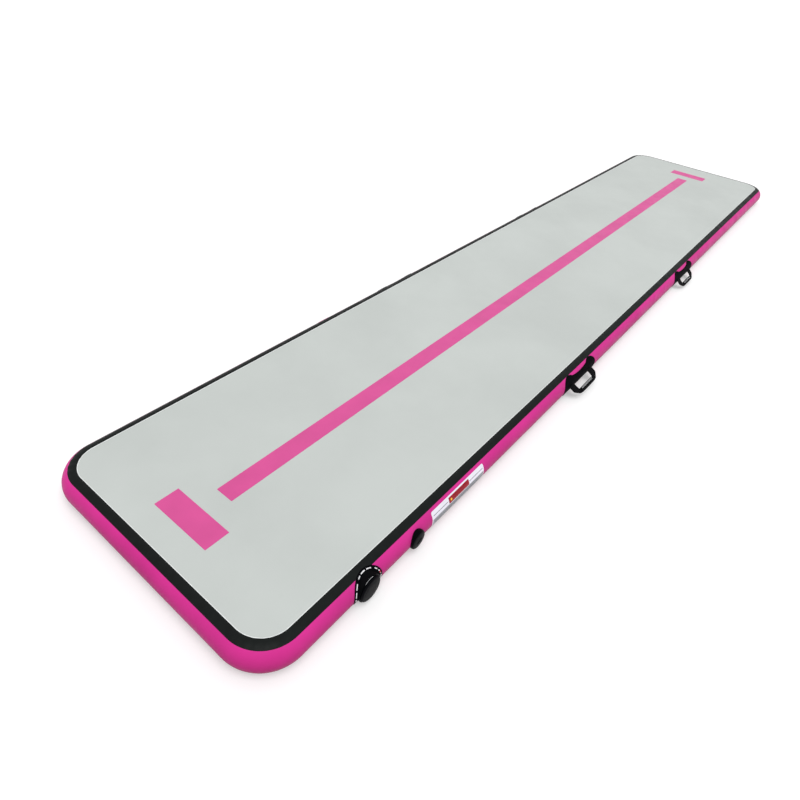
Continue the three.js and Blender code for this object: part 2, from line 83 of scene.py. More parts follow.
# Radii of the valves' parts, and the gap from them to the wall, in millimetres.
PATCH_HOLE = 22.4
MARK_RING = 53
FLANGE = 44
COLLAR = 31
COLLAR_BORE = 28
BARREL = 22
BARREL_BORE = 17.5
RELIEF_CAP = 31
RELIEF_BARREL = 14
RELIEF_BORE = 10
WALL_GAP = 0.6


# ------------ mesh helpers

def smooth(obj, angle=35):
    mesh = obj.data
    mesh.polygons.foreach_set("use_smooth", [True] * len(mesh.polygons))
    mesh.set_sharp_from_angle(angle=math.radians(angle))


def make_mesh(name, points, faces, angle=35):
    """A new object from points and faces, with doubles merged and faces pointing out."""
    mesh = bpy.data.meshes.new(name)
    mesh.from_pydata([tuple(p) for p in points], [], [tuple(f) for f in faces])
    work = bmesh.new()
    work.from_mesh(mesh)
    bmesh.ops.remove_doubles(work, verts=work.verts, dist=1e-6)
    bmesh.ops.dissolve_degenerate(work, edges=work.edges, dist=1e-7)
    bmesh.ops.recalc_face_normals(work, faces=work.faces)
    work.to_mesh(mesh)
    work.free()
    obj = bpy.data.objects.new(name, mesh)
    bpy.context.scene.collection.objects.link(obj)
    smooth(obj, angle)
    return obj


def grid_faces(rows, columns, start=0, wrap_rows=False, wrap_columns=False):
    i = np.arange(rows if wrap_rows else rows - 1)
    j = np.arange(columns if wrap_columns else columns - 1)
    i, j = [a.ravel() for a in np.meshgrid(i, j, indexing="ij")]
    i2, j2 = (i + 1) % rows, (j + 1) % columns
    corners = [i * columns + j, i2 * columns + j, i2 * columns + j2, i * columns + j2]
    return (np.stack(corners, 1) + start).tolist()


def tube_faces(rows, columns, start=0):
    """The skin of a tube of rings of points, with a face over each end."""
    last = start + (rows - 1) * columns
    ends = [tuple(range(first, first + columns)) for first in (start, last)]
    return grid_faces(rows, columns, start, wrap_columns=True) + ends


def full_turn(count):
    """Angles once round, without the last, which is the first again."""
    return np.linspace(0, 2 * math.pi, count + 1)[:-1]


def crowded(count):
    """Steps from -1 to 1 that crowd together towards both ends."""
    return np.sin(np.linspace(-math.pi / 2, math.pi / 2, count))


def squarish(wave, power):
    """A sine or cosine that stays nearer its extremes, for a rounded box's outline."""
    return np.sign(wave) * np.abs(wave) ** power


def shell(name, outer, inner, angle=35):
    """A closed body between two grids of points of the same size."""
    rows, columns = outer.shape[:2]
    size = rows * columns
    faces = grid_faces(rows, columns) + grid_faces(rows, columns, size)
    index = np.arange(size).reshape(rows, columns)
    for edge in (index[0], index[-1], index[:, 0], index[:, -1]):
        for a, b in zip(edge[:-1], edge[1:]):
            faces.append((a, b, b + size, a + size))
    points = np.concatenate([outer.reshape(-1, 3), inner.reshape(-1, 3)])
    return make_mesh(name, points, faces, angle)


def join_meshes(name, objects):
    """One object from several, which are used up."""
    work = bmesh.new()
    for obj in objects:
        work.from_mesh(obj.data)
        bpy.data.objects.remove(obj)
    mesh = bpy.data.meshes.new(name)
    work.to_mesh(mesh)
    work.free()
    obj = bpy.data.objects.new(name, mesh)
    bpy.context.scene.collection.objects.link(obj)
    return obj


def finish_piece(obj, body, look, replaces=()):
    """Gives a piece its material, the body it moves with and the nodes it stands in for."""
    obj.data.materials.clear()
    obj.data.materials.append(MATERIALS[look])
    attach(obj, body)
    if replaces:
        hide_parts(*replaces)
    return obj


# ------------ the mat's cross-section

def wall_section(angle, offset):
    """Inset from the outermost line, height, and outward normal, at an angle of the side wall."""
    angle = np.asarray(angle, float)
    normal = np.stack([-MID * np.cos(angle), BULGE * np.sin(angle)], -1)
    normal /= np.linalg.norm(normal, axis=-1, keepdims=True)
    inset = BULGE - BULGE * np.cos(angle) + offset * normal[..., 0]
    height = MID + MID * np.sin(angle) + offset * normal[..., 1]
    return inset, height, normal


arc_angles = np.linspace(-math.pi / 2, math.pi / 2, ARC_SAMPLES)
arc_steps = np.hypot(BULGE * np.sin(arc_angles), MID * np.cos(arc_angles))
arc_lengths = np.concatenate([[0], np.cumsum((arc_steps[1:] + arc_steps[:-1]) / 2)])
arc_lengths *= arc_angles[1] - arc_angles[0]
arc_lengths -= arc_lengths[ARC_SAMPLES // 2]


def on_wall(x, along, offset, side):
    """Points over the straight side wall: along is the distance round it from mid-height."""
    angle = np.interp(along, arc_lengths, arc_angles)
    inset, height, _ = wall_section(angle, offset)
    y = side * (HALF_WIDTH - inset)
    return np.stack(np.broadcast_arrays(x, y, height), -1)


def stations():
    """Base points and outward directions round the mat, and how far round a corner each is."""
    reach_x = HALF_LENGTH - CORNER_RADIUS
    reach_y = HALF_WIDTH - CORNER_RADIUS
    corners = [(1, 1), (-1, 1), (-1, -1), (1, -1)]
    rows = []
    for quarter, (sign_x, sign_y) in enumerate(corners):
        for step in range(CORNER_STEPS + 1):
            share = step / CORNER_STEPS
            turn = (quarter + share) * math.pi / 2
            base = (sign_x * reach_x, sign_y * reach_y)
            rows.append((*base, math.cos(turn), math.sin(turn), share))
        next_x, next_y = corners[(quarter + 1) % 4]
        start = np.array([sign_x * reach_x, sign_y * reach_y])
        end = np.array([next_x * reach_x, next_y * reach_y])
        count = round(float(np.linalg.norm(end - start)) / STRAIGHT_STEP)
        for step in range(1, count):
            base = start + (end - start) * step / count
            rows.append((*base, math.cos(turn), math.sin(turn), 0))
    return np.array(rows)


STATIONS = stations()


def pucker(height, share):
    """How far the taut skins gather at a corner, in small folds near the seams."""
    fold = np.cos(2 * math.pi * PUCKER_WAVES * share) * np.sin(math.pi * share) ** 2
    level = np.abs(height - MID) / MID
    return PUCKER * fold * np.exp(-((level - PUCKER_LEVEL) / PUCKER_SPREAD) ** 2)


def ring(name, profile):
    """A cross-section swept round the mat. Each profile row is inset, height and normal."""
    profile = np.array(profile, float)
    inset, height = profile[None, :, 0], profile[None, :, 1]
    share = STATIONS[:, 4:5]
    push = pucker(height, share)
    inset = inset + push * profile[None, :, 2]
    height = np.maximum(height + push * profile[None, :, 3], 0)
    reach = CORNER_RADIUS - inset
    x = STATIONS[:, 0:1] + reach * STATIONS[:, 2:3]
    y = STATIONS[:, 1:2] + reach * STATIONS[:, 3:4]
    points = np.stack(np.broadcast_arrays(x, y, height), -1)
    faces = grid_faces(*points.shape[:2], wrap_rows=True, wrap_columns=True)
    return make_mesh(name, points.reshape(-1, 3), faces)


def arc_rows(start, end, offset, steps):
    """Profile rows along the wall between two angles."""
    inset, height, normal = wall_section(np.linspace(start, end, steps + 1), offset)
    return list(zip(inset, height, normal[:, 0], normal[:, 1]))


# ------------ node materials

def linear(red, green, blue):
    """An sRGB colour, 0 to 255, as linear RGBA."""
    def channel(value):
        value /= 255
        return value / 12.92 if value <= 0.04045 else ((value + 0.055) / 1.055) ** 2.4
    return (channel(red), channel(green), channel(blue), 1)


# A wave texture of scale 1 runs through this many radians a metre.
BAND_RATE = 20


class Shader:
    """A material with one Principled BSDF, and short calls for what feeds it."""

    def __init__(self, name, roughness, **constants):
        self.material = bpy.data.materials.new(name)
        self.material.use_nodes = True
        self.nodes = self.material.node_tree.nodes
        self.links = self.material.node_tree.links
        self.bsdf = self.nodes["Principled BSDF"]
        self.bsdf.inputs["Roughness"].default_value = roughness
        for key, value in constants.items():
            self.bsdf.inputs[key.replace("_", " ")].default_value = value
        self.place = self.nodes.new("ShaderNodeTexCoord").outputs["Object"]

    def join(self, source, socket):
        if isinstance(source, bpy.types.NodeSocket):
            self.links.new(source, socket)
        else:
            socket.default_value = source

    def node(self, kind, output=0, inputs=None, **settings):
        made = self.nodes.new("ShaderNode" + kind)
        for key, value in settings.items():
            setattr(made, key, value)
        for key, value in (inputs or {}).items():
            self.join(value, made.inputs[key])
        return made.outputs[output]

    def noise(self, scale, detail, roughness=0.5, vector=None):
        inputs = {"Vector": vector or self.place, "Scale": scale}
        inputs.update({"Detail": detail, "Roughness": roughness})
        return self.node("TexNoise", inputs=inputs)

    def stretched(self, scale):
        return self.node("Mapping", inputs={"Vector": self.place, "Scale": scale})

    def waves(self, pitch, direction):
        scale = 2 * math.pi / pitch / BAND_RATE
        inputs = {"Vector": self.place, "Scale": scale, "Distortion": 0.0}
        settings = {"wave_type": "BANDS", "bands_direction": direction}
        return self.node("TexWave", 1, inputs, wave_profile="SIN", **settings)

    def math(self, operation, a, b):
        return self.node("Math", inputs={0: a, 1: b}, operation=operation)

    def ramp(self, value, low, high, start=0.0, end=1.0):
        inputs = {"Value": value, "From Min": low, "From Max": high}
        inputs.update({"To Min": start, "To Max": end})
        return self.node("MapRange", inputs=inputs)

    def patchy(self, scale, detail, low, high, roughness=0.5):
        """A value that drifts between two others."""
        return self.ramp(self.noise(scale, detail, roughness), 0.3, 0.7, low, high)

    def mix(self, factor, a, b):
        made = self.nodes.new("ShaderNodeMix")
        made.data_type = "RGBA"
        self.join(factor, made.inputs[0])
        self.join(a, made.inputs[6])
        self.join(b, made.inputs[7])
        return made.outputs[2]

    def bump(self, height, distance, strength, normal=None):
        made = self.nodes.new("ShaderNodeBump")
        made.inputs["Strength"].default_value = strength
        made.inputs["Distance"].default_value = distance
        self.join(height, made.inputs["Height"])
        if normal is not None:
            self.join(normal, made.inputs["Normal"])
        return made.outputs[0]

    def use(self, colour=None, roughness=None, normal=None):
        for key, value in (("Base Color", colour), ("Roughness", roughness), ("Normal", normal)):
            if value is not None:
                self.join(value, self.bsdf.inputs[key])
        return self.material


def tinted(shader, colour, amount, scale=6.0):
    """A colour with soft, uneven shading over it."""
    darker = tuple(c * (1 - amount) for c in colour[:3]) + (1,)
    lighter = tuple(min(1, c * (1 + amount)) for c in colour[:3]) + (1,)
    return shader.mix(shader.ramp(shader.noise(scale, 4), 0.35, 0.65), darker, lighter)


def weave_height(shader, pitch, directions=("X", "Y")):
    """The raised pattern of a scrim seen through its coating."""
    first, second = (shader.waves(pitch, direction) for direction in directions)
    return shader.math("MAXIMUM", first, second)


def dimpled(shader):
    """The coating's fine grain, over the dimples that the yarns draw in it."""
    grain = shader.bump(shader.noise(900, 2), 0.06 * MM, 0.5)
    return shader.bump(weave_height(shader, 9 * MM), 0.12 * MM, 0.5, grain)


def coated_sheet():
    shader = Shader("coated_sheet_grey", 0.6, Specular_IOR_Level=0.25)
    colour = tinted(shader, linear(193, 198, 195), 0.035, 2.5)
    scuffs = shader.ramp(shader.noise(28, 6, 0.7), 0.62, 0.78, 0, 0.10)
    colour = shader.mix(scuffs, colour, linear(172, 176, 174))
    dimples = dimpled(shader)
    quilt = shader.bump(shader.noise(7, 2), 1.2 * MM, 0.35, dimples)
    rough = shader.patchy(11, 4, 0.52, 0.68)
    return shader.use(colour, rough, quilt)


def coated_wall():
    shader = Shader("coated_wall_pink", 0.4, Specular_IOR_Level=0.22, IOR=1.2)
    colour = tinted(shader, linear(208, 52, 142), 0.05, 5)
    rubbed = shader.ramp(shader.noise(45, 6, 0.7), 0.64, 0.8, 0, 0.08)
    colour = shader.mix(rubbed, colour, linear(220, 110, 172))
    # Painted shade: the pink darkens to a deep magenta towards the bottom of the wall, as if lit from
    # above, and noise roughens the edge of this shade.
    level = shader.node("SeparateXYZ", 2, {0: shader.place})
    uneven = shader.ramp(shader.noise(14, 4), 0, 1, -0.006, 0.006)
    painted_shade_low = shader.ramp(shader.math("ADD", level, uneven), 0.012, 0.095, 0.95, 0.0)
    colour = shader.mix(painted_shade_low, colour, linear(108, 4, 54))
    grain = shader.bump(shader.noise(1100, 2), 0.05 * MM, 0.5)
    scrim = shader.bump(weave_height(shader, 1.4 * MM, ("X", "Z")), 0.03 * MM, 0.5, grain)
    swell = shader.bump(shader.noise(6, 2), 1.5 * MM, 0.35, scrim)
    rough = shader.patchy(17, 4, 0.33, 0.46)
    return shader.use(colour, rough, swell)


def seam_tape():
    shader = Shader("seam_tape_black", 0.5, Specular_IOR_Level=0.12)
    colour = tinted(shader, linear(17, 21, 20), 0.16, 30)
    dust = shader.ramp(shader.noise(60, 6, 0.7), 0.6, 0.85, 0, 0.16)
    colour = shader.mix(dust, colour, linear(48, 52, 51))
    grain = shader.bump(shader.noise(1300, 2), 0.05 * MM, 0.6)
    pressed = shader.bump(weave_height(shader, 2.2 * MM), 0.08 * MM, 0.5, grain)
    lumps = shader.bump(shader.noise(22, 3), 0.8 * MM, 0.3, pressed)
    rough = shader.patchy(33, 4, 0.42, 0.6)
    return shader.use(colour, rough, lumps)


def printed_ink():
    shader = Shader("printed_ink_pink", 0.5, Specular_IOR_Level=0.25)
    colour = tinted(shader, linear(212, 80, 148), 0.04, 9)
    worn = shader.ramp(shader.noise(70, 8, 0.75), 0.66, 0.8, 0, 0.35)
    colour = shader.mix(worn, colour, linear(214, 190, 200))
    dimples = dimpled(shader)
    rough = shader.patchy(24, 4, 0.4, 0.55)
    return shader.use(colour, rough, dimples)


def moulded(name, colour, low, high, grain_depth=0.03, **constants):
    """Moulded plastic or rubber: a fine spark-eroded grain and handling marks."""
    shader = Shader(name, (low + high) / 2, **constants)
    base = tinted(shader, colour, 0.12, 60)
    grain = shader.bump(shader.noise(1500, 2), grain_depth * MM, 0.6)
    flow = shader.bump(shader.noise(90, 3), 0.15 * MM, 0.15, grain)
    rough = shader.patchy(140, 5, low, high, 0.6)
    return shader.use(base, rough, flow)


def woven_webbing():
    shader = Shader("woven_webbing_black", 0.8, Sheen_Weight=0.05, Sheen_Roughness=0.4,
                    Specular_IOR_Level=0.12, IOR=1.25)
    ribs = shader.waves(1.6 * MM, "X")
    picks = shader.waves(1.1 * MM, "Y")
    cloth = shader.math("MULTIPLY", ribs, picks)
    colour = shader.mix(cloth, linear(6, 6, 8), linear(22, 22, 26))
    fuzz = shader.bump(shader.noise(1600, 3), 0.08 * MM, 0.6)
    thread = shader.bump(cloth, 0.3 * MM, 0.8, fuzz)
    rough = shader.patchy(160, 4, 0.7, 0.9)
    return shader.use(colour, rough, thread)


def label_film(name, colour, roughness):
    shader = Shader(name, roughness, Specular_IOR_Level=0.15)
    base = tinted(shader, colour, 0.03, 24)
    scratches = shader.noise(300, 2, vector=shader.stretched((1, 1, 18)))
    base = shader.mix(shader.ramp(scratches, 0.62, 0.8, 0, 0.15), base, linear(120, 120, 126))
    grain = shader.bump(shader.noise(800, 2), 0.03 * MM, 0.4)
    rough = shader.patchy(50, 4, roughness - 0.08, roughness + 0.1)
    return shader.use(base, rough, grain)


def base_cloth():
    shader = Shader("base_cloth_raw", 0.9, Sheen_Weight=0.2)
    threads = weave_height(shader, 2.5 * MM)
    colour = shader.mix(threads, linear(190, 187, 176), linear(224, 222, 212))
    return shader.use(colour, None, shader.bump(threads, 0.2 * MM, 0.7))


def spring_steel():
    shader = Shader("spring_steel", 0.3, Metallic=1.0)
    colour = tinted(shader, linear(190, 193, 198), 0.08, 200)
    drawn = shader.noise(900, 2, vector=shader.stretched((1, 12, 1)))
    return shader.use(colour, shader.ramp(drawn, 0.3, 0.7, 0.2, 0.42))


def thread_material():
    shader = Shader("stitching_thread", 0.7, Sheen_Weight=0.3)
    twist = shader.waves(0.9 * MM, "DIAGONAL")
    colour = shader.mix(twist, linear(206, 208, 210), linear(240, 241, 243))
    return shader.use(colour, None, shader.bump(twist, 0.1 * MM, 0.6))


MATERIALS = {
    "sheet": coated_sheet(),
    "wall": coated_wall(),
    "tape": seam_tape(),
    "ink": printed_ink(),
    "patch": moulded("handle_patch_black", linear(7, 8, 11), 0.5, 0.68, 0.06,
                     Specular_IOR_Level=0.06, IOR=1.2),
    "plastic": moulded("moulded_plastic_black", linear(5, 6, 9), 0.3, 0.45, 0.01,
                       Specular_IOR_Level=0.1, IOR=1.22),
    "rubber": moulded("moulded_rubber_black", linear(9, 9, 11), 0.55, 0.75, 0.05,
                      Specular_IOR_Level=0.1, IOR=1.2),
    "webbing": woven_webbing(),
    "label": label_film("label_film_white", linear(224, 222, 233), 0.35),
    "label_grey": label_film("label_film_grey", linear(138, 140, 146), 0.35),
    "label_red": label_film("label_panel_red", linear(148, 4, 28), 0.35),
    "label_maroon": label_film("label_mark_maroon", linear(96, 4, 16), 0.4),
    "label_yellow": label_film("label_mark_yellow", linear(238, 190, 40), 0.35),
    "label_dark": label_film("label_mark_dark", linear(52, 50, 58), 0.4),
    "mark_white": moulded("printed_white", linear(226, 226, 228), 0.4, 0.55, 0.01),
    # Pale colour of the painted highlight along the top tape's inner edge.
    "lit_edge_strip": moulded("painted_edge_highlight_pale", linear(232, 235, 234), 0.4, 0.6, 0.02),
    "cloth": base_cloth(),
    "steel": spring_steel(),
    "thread": thread_material(),
}


# ------------ mattress skins

def top_grid(inset, height):
    """Points and faces of a flat sheet: a field of squares and a swept border with round corners."""
    reach_x = HALF_LENGTH - CORNER_RADIUS
    reach_y = HALF_WIDTH - CORNER_RADIUS
    columns = round(2 * reach_x / STRAIGHT_STEP) + 1
    rows = round(2 * reach_y / STRAIGHT_STEP) + 1
    x, y = np.meshgrid(np.linspace(-reach_x, reach_x, columns),
                       np.linspace(-reach_y, reach_y, rows), indexing="ij")
    field = np.stack([x, y, np.full_like(x, height)], -1).reshape(-1, 3)
    faces = grid_faces(columns, rows)
    reaches = np.linspace(0, CORNER_RADIUS - inset, BORDER_ROWS)
    border = STATIONS[:, None, 0:2] + reaches[None, :, None] * STATIONS[:, None, 2:4]
    level = np.full(border.shape[:2] + (1,), height)
    border = np.concatenate([border, level], -1)
    faces += grid_faces(*border.shape[:2], start=len(field), wrap_rows=True)
    return np.concatenate([field, border.reshape(-1, 3)]), faces


def flat_sheet(name, inset, outer, inner):
    """A closed flat sheet, with its rim joined all round."""
    points, faces = top_grid(inset, outer)
    under = points.copy()
    under[:, 2] = inner
    size = len(points)
    last_in_row = BORDER_ROWS * np.arange(1, len(STATIONS) + 1) - 1
    rim = size - BORDER_ROWS * len(STATIONS) + last_in_row
    faces += [tuple(i + size for i in face) for face in faces]
    for a, b in zip(rim, np.roll(rim, -1)):
        faces.append((a, b, b + size, a + size))
    return make_mesh(name, np.concatenate([points, under]), faces)


def mirrored(profile, sign):
    """A profile for the top (sign 1) or, turned over, for the bottom (sign -1)."""
    return [(i, MID + sign * (h - MID), ni, sign * nh) for i, h, ni, nh in profile]


def tape_profile():
    """The tape laps the sheet's edge and stands half a millimetre proud, with soft edges."""
    proud = 0.5 * MM
    edge = SHEET_INSET + 1.2 * MM
    fade = math.radians(0.7)
    outside = arc_rows(TAPE_ANGLE, math.pi / 2, proud, 12)
    inside = arc_rows(math.pi / 2, TAPE_ANGLE - fade, -SKIN, 8)
    lip = [(edge - 0.5 * MM, HEIGHT + proud, 0, 1), (edge, HEIGHT + 0.3 * MM, 0, 1),
           (edge, HEIGHT - 0.1 * MM, 0, 1), (edge - 0.5 * MM, HEIGHT - SKIN, 0, 1)]
    foot = arc_rows(TAPE_ANGLE - fade, TAPE_ANGLE - fade, -0.2 * MM, 0)
    shoulder = arc_rows(TAPE_ANGLE - fade / 3, TAPE_ANGLE - fade / 3, 0.3 * MM, 0)
    return [*foot, *shoulder, *outside, *lip, *inside]


def flush_tape_profile():
    """The bottom tape is pressed level with the sheet by the mat's weight."""
    outside = arc_rows(TAPE_ANGLE, math.radians(84), 0.3 * MM, 10)
    outside += arc_rows(math.radians(86), math.pi / 2, 0, 2)
    inside = arc_rows(math.pi / 2, TAPE_ANGLE, -SKIN, 8)
    edge = SHEET_INSET - 0.3 * MM
    return [*outside, (edge, HEIGHT, 0, 1), (edge, HEIGHT - SKIN, 0, 1), *inside]


def lit_edge_profile():
    """A thin pale strip along the tape's inner edge: a painted highlight on that edge."""
    inner = SHEET_INSET + 1.1 * MM
    width = 2.4 * MM
    rows = []
    for step in range(7):
        turn = math.pi * step / 6
        across = inner + width * (1 - math.cos(turn)) / 2
        rows.append((across, HEIGHT + 0.35 * MM * math.sin(turn), 0, 1))
    rows += [(inner + width, HEIGHT - 0.3 * MM, 0, 1), (inner, HEIGHT - 0.3 * MM, 0, 1)]
    return rows


def cutter(x, radius):
    """A rod through the side wall at a valve."""
    turns = full_turn(48)
    across, up = x + radius * np.cos(turns), MID + radius * np.sin(turns)
    rows = [np.stack([across, np.full_like(across, -HALF_WIDTH + depth), up], 1)
            for depth in (-50 * MM, 40 * MM)]
    faces = tube_faces(2, len(turns))
    return make_mesh("bore", np.concatenate(rows), faces)


def apply_modifiers(obj):
    bpy.context.view_layer.update()
    evaluated = obj.evaluated_get(bpy.context.evaluated_depsgraph_get())
    mesh = bpy.data.meshes.new_from_object(evaluated)
    obj.modifiers.clear()
    obj.data = mesh


def bore(obj, x, radius):
    tool = cutter(x, radius)
    change = obj.modifiers.new("bore", "BOOLEAN")
    change.operation = "DIFFERENCE"
    change.solver = "EXACT"
    change.object = tool
    apply_modifiers(obj)
    bpy.data.objects.remove(tool)


def build_mattress():
    limit = TAPE_ANGLE + math.radians(2)
    section = arc_rows(-limit, limit, 0, 34) + arc_rows(limit, -limit, -SKIN, 12)
    wall = ring("mattress_side_wall", section)
    bore(wall, VALVE_X, (BARREL + WALL_GAP) * MM)
    bore(wall, RELIEF_X, (RELIEF_BARREL + WALL_GAP) * MM)
    smooth(wall)
    finish_piece(wall, "mat", "wall", ["side_wall"])
    for sign, side in ((1, "top"), (-1, "bottom")):
        outer = MID + sign * MID
        sheet = flat_sheet(f"mattress_{side}_sheet", SHEET_INSET, outer, outer - sign * SKIN)
        finish_piece(sheet, "mat", "sheet", [f"{side}_sheet"])
        proud = tape_profile() if sign > 0 else flush_tape_profile()
        tape = ring(f"{side}_tape_skin", mirrored(proud, sign))
        finish_piece(tape, "mat", "tape", [f"{side}_seam_tape"])
    # Painted highlight: a pale strip along the top tape's inner edge.
    lit_edge_strip = ring("top_tape_edge_highlight", lit_edge_profile())
    finish_piece(lit_edge_strip, "mat", "lit_edge_strip")


def rounded_plate(name, low, high, corner):
    """A thin plate with round corners and eased edges, as a height field."""
    centre, half = (low + high) / 2, (high - low) / 2
    u = crowded(81)
    x = half.x * u
    past = np.clip(np.abs(x) - (half.x - corner), 0, corner)
    reach = half.y - corner + np.sqrt(np.maximum(corner ** 2 - past ** 2, 0))
    v = crowded(31)
    points_x = np.repeat(x[:, None], len(v), 1) + centre.x
    points_y = reach[:, None] * v[None, :] + centre.y
    top = np.full_like(points_x, high.z)
    bottom = np.full_like(points_x, HEIGHT - 0.1 * MM)
    outer = np.stack([points_x, points_y, top], -1)
    inner = np.stack([points_x, points_y, bottom], -1)
    return shell(name, outer, inner)


def build_markings():
    marks = ("centre_stripe", "near_end_bar", "far_end_bar")
    for node in marks:
        low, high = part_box(node)
        mark = rounded_plate(f"{node}_print", low, high, 1.5 * MM)
        finish_piece(mark, "mat", "ink", [node])


# ------------ pieces bonded to the side wall

def wall_piece(name, centre_x, centre_s, half, reach_of, base, thick, side=-1, size=(61, 25),
               relief=None):
    """A thin piece that follows the wall. reach_of gives its half-height at each x from its
    centre, and relief, if any, adds to its thickness at points x, s from its centre."""
    u = crowded(size[0])
    v = crowded(size[1])
    x = half * u
    s = reach_of(x)[:, None] * v[None, :]
    x = np.repeat(x[:, None], size[1], 1)
    rim = (1 - np.abs(v[None, :]) ** 30) * (1 - np.abs(u[:, None]) ** 60)
    height = thick * np.sqrt(np.clip(rim, 0, 1))
    if relief is not None:
        height = height + relief(x, s) * rim
    outer = on_wall(centre_x + x, centre_s + s, base + height, side)
    inner = on_wall(centre_x + x, centre_s + s, base - 0.15 * MM, side)
    return shell(name, outer, inner)


def rounded_ends(half, reach, corner):
    def reach_of(x):
        past = np.clip(np.abs(x) - (half - corner), 0, corner)
        return reach - corner + np.sqrt(np.maximum(corner ** 2 - past ** 2, 0))
    return reach_of


def label_part(name, left, right, low, high, corner, base, thick, look, nodes=()):
    """A rounded rectangle on the wall, from its edges along x and round the wall."""
    half, reach = (right - left) / 2, (high - low) / 2
    shape = rounded_ends(half, reach, min(corner, reach * 0.98))
    piece = wall_piece(name, (left + right) / 2, (low + high) / 2, half, shape, base, thick,
                       size=(41, 15))
    return finish_piece(piece, "mat", look, nodes)


def build_label():
    low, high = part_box("info_label")
    left, right = low.x, high.x
    bottom, top = -21.5 * MM, 38.5 * MM
    film, ink = 0.3 * MM, 0.12 * MM
    border = 3 * MM
    label_part("label_sheet", left, right, bottom, top, 6 * MM, 0.1 * MM, film,
               "label", ["info_label"])
    above = 0.1 * MM + film
    label_part("label_lower_field", left + border, right - border, bottom + border, 11 * MM,
               3 * MM, above, ink, "label_grey")
    panel_low, panel_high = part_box("label_panel")
    panel_left, panel_right = panel_low.x, panel_high.x
    for name, start, end in (("left", left + 7 * MM, panel_left - 4 * MM),
                             ("right", panel_right + 4 * MM, right - 7 * MM)):
        label_part(f"label_rule_{name}", start, end, 22.4 * MM, 24 * MM, 0.5 * MM, above, ink,
                   "label_dark")
    label_part("label_warning_border", panel_left - 2 * MM, panel_right + 2 * MM, 10 * MM,
               34.6 * MM, 3 * MM, above, ink, "label")
    label_part("label_warning_field", panel_left, panel_right, 12 * MM, 33 * MM, 2.5 * MM,
               above + ink, 0.25 * MM, "label_red", ["label_panel"])
    field_top = above + ink + 0.25 * MM
    label_part("label_yellow_mark", panel_left + 9 * MM, panel_left + 17 * MM, 18 * MM, 26 * MM,
               3 * MM, field_top, ink, "label_yellow")
    for row in range(2):
        level = 18.5 * MM + row * 7 * MM
        end = panel_right - (12 + 18 * (row == 0)) * MM
        label_part(f"label_bar_{row}", panel_left + 28 * MM, end, level, level + 1.6 * MM,
                   0.6 * MM, field_top, ink, "label_maroon")
    for row in range(4):
        level = -15.5 * MM + row * 6 * MM
        label_part(f"label_line_{row}", left + 12 * MM, right - (14 + 22 * (row % 2)) * MM,
                   level, level + 1.3 * MM, 0.5 * MM, above + ink, ink, "label_dark")


def build_wall_joint():
    low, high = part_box("wall_joint_patch")
    half = (high.x - low.x) / 2
    shape = rounded_ends(half, 49.5 * MM, 8 * MM)
    piece = wall_piece("wall_joint_skin", (low.x + high.x) / 2, 0, half, shape, 0.1 * MM,
                       0.8 * MM, side=1, size=(41, 61))
    finish_piece(piece, "mat", "wall", ["wall_joint_patch"])


# ------------ turned pieces

def eased(points, radius, closed, steps=3):
    """A profile with its corners rounded."""
    points = [np.array(p, float) for p in points]
    count = len(points)
    out = []
    for k, point in enumerate(points):
        if not closed and k in (0, count - 1):
            out.append(point)
            continue
        before = points[k - 1] - point
        after = points[(k + 1) % count] - point
        cut = min(radius, 0.45 * np.linalg.norm(before), 0.45 * np.linalg.norm(after))
        start = point + before / np.linalg.norm(before) * cut
        end = point + after / np.linalg.norm(after) * cut
        for step in range(steps + 1):
            t = step / steps
            out.append((1 - t) ** 2 * start + 2 * t * (1 - t) * point + t * t * end)
    return np.array(out)


def turned(name, centre_x, profile, radius=0.5, closed=False, segments=96, knurl=None,
           depth_of=None):
    """A piece turned about a valve's axis from [radius, depth] points in millimetres. Depth 0
    is the wall's outermost line and depth grows into the mat."""
    rows = eased(profile, radius, closed) * MM
    turns = full_turn(segments)
    r = np.repeat(rows[None, :, 0], segments, 0)
    d = np.repeat(rows[None, :, 1], segments, 0)
    if knurl is not None:
        r = r + knurl(turns[:, None], r, d)
    if depth_of is not None:
        d = depth_of(turns[:, None], r, d)
    x = centre_x + r * np.cos(turns)[:, None]
    z = MID + r * np.sin(turns)[:, None]
    points = np.stack([x, -HALF_WIDTH + d, z], -1)
    faces = grid_faces(segments, len(rows), wrap_rows=True, wrap_columns=closed)
    return make_mesh(name, points.reshape(-1, 3), faces, angle=40)


def pad_depth(front):
    """Depths below the pad's face follow the bulged wall behind it."""
    def depth_of(turns, r, d):
        level = np.clip(np.abs(r * np.sin(turns)) / MID, 0, 0.999)
        wall = BULGE * (1 - np.sqrt(1 - level ** 2))
        share = (d - front * MM) / (1 * MM)
        return np.where(share > 0, front * MM + np.clip(share, 0, 1) * (wall - front * MM), d)
    return depth_of


def ribs(count, depth, low, high):
    """Grip ribs on a skirt between two depths, in millimetres."""
    def knurl(turns, r, d):
        on_skirt = (d > low * MM) & (d < high * MM) & (r > 0.9 * r.max())
        return np.where(on_skirt, depth * MM * (np.cos(count * turns) - 1) / 2, 0)
    return knurl


def wrapped(name, centre_x, profile):
    """A ring that follows the wall, from [radius, height over the wall] in millimetres."""
    rows = eased(profile, 0.4, True) * MM
    turns = full_turn(120)[:, None]
    along = rows[None, :, 0] * np.sin(turns)
    points = on_wall(centre_x + rows[None, :, 0] * np.cos(turns), along, rows[None, :, 1], -1)
    faces = grid_faces(len(turns), len(rows), wrap_rows=True, wrap_columns=True)
    return make_mesh(name, points.reshape(-1, 3), faces, 40)


def on_patch(x, up, height):
    """Points beside the pump valve's axis, at a height over the curved wall."""
    return on_wall(VALVE_X + x, up, height, -1)


def on_flange(x, up, height):
    """Points beside the pump valve's axis, out from the wall's outermost line."""
    return np.stack([VALVE_X + x, np.full_like(x, -HALF_WIDTH - height), MID + up], -1)


